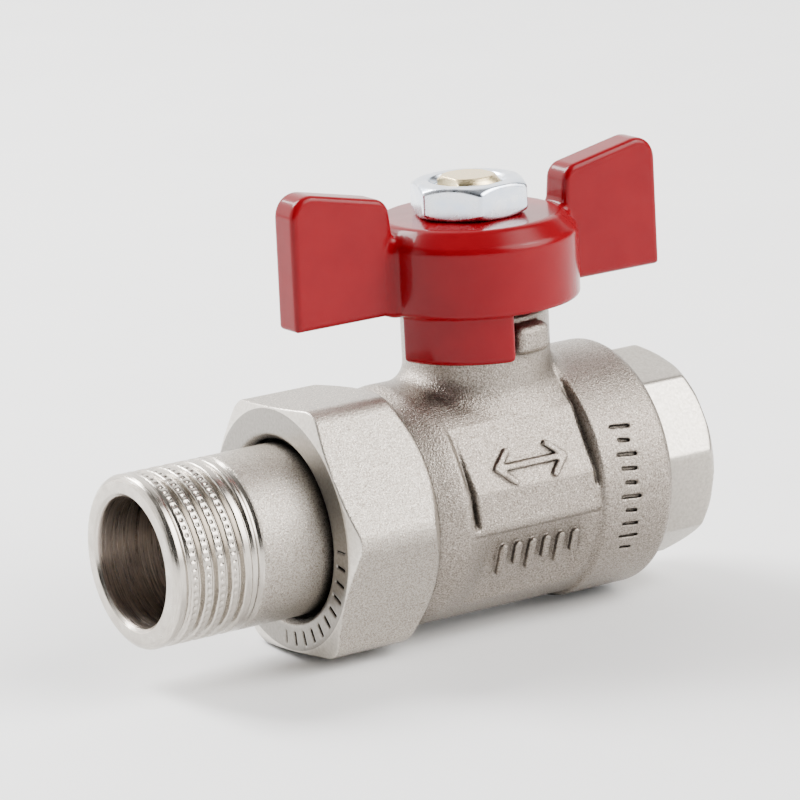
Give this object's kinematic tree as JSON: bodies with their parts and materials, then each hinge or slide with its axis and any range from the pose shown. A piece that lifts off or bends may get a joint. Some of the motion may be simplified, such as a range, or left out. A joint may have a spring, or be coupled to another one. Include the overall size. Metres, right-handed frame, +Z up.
{
  "type": "ball valve",
  "caption": "Small brass ball valve with a butterfly handle, a female pipe thread at one end and a union nut with a male tailpiece at the other.",
  "frame": {"origin": "centre of the ball, where the pipe axis and the stem axis cross", "axes": "+X along the pipe from the tailpiece to the female end, +Z up along the stem, +Y to the left of the flow from the tailpiece"},
  "size_m": [0.0767, 0.0342, 0.0558],
  "materials": {
    "blasted_nickel": "sand-blasted nickel plate on brass",
    "turned_nickel": "machined, nickel plated brass",
    "black_rubber": "smooth moulded rubber",
    "ball_chrome": "polished chrome",
    "white_ptfe": "waxy white PTFE",
    "raw_brass": "machined yellow brass",
    "red_paint": "glossy red epoxy paint",
    "zinc_plate": "bright zinc plate"
  },
  "bodies": {
    "housing": {"valve_body": "blasted_nickel", "union_adapter": "turned_nickel", "adapter_o_ring": "black_rubber", "seat_ring_body_side": "white_ptfe", "seat_ring_union_side": "white_ptfe", "seat_backing_ring_body_side": "black_rubber", "seat_backing_ring_union_side": "black_rubber", "stem_thrust_washer": "white_ptfe", "stem_packing": "white_ptfe", "packing_follower": "raw_brass", "gland_nut": "raw_brass"},
    "turning_set": {"ball": "ball_chrome", "stem": "raw_brass", "stem_o_ring_lower": "black_rubber", "stem_o_ring_upper": "black_rubber", "handle": "red_paint", "handle_nut": "zinc_plate"},
    "tail": {"tailpiece": "turned_nickel", "tailpiece_o_ring": "black_rubber"},
    "nut": {"union_nut": "blasted_nickel"}
  },
  "joints": [
    {"name": "handle_turn", "type": "hinge", "parent": "housing", "child": "turning_set", "pos_m": [0, 0, 0], "axis": [0, 0, 1], "range_deg": [-90, 0]},
    {"name": "tailpiece_slide", "type": "slide", "parent": "housing", "child": "tail", "axis": [-1, 0, 0], "range_m": [0, 0.00635]},
    {"name": "union_nut_turn", "type": "hinge", "parent": "tail", "child": "nut", "pos_m": [0, 0, 0], "axis": [-1, 0, 0], "range_deg": [0, 1260]}
  ],
  "couplings": [
    {"joint": "union_nut_turn", "follows": "tailpiece_slide", "rad_per_m": 3463.7}
  ]
}
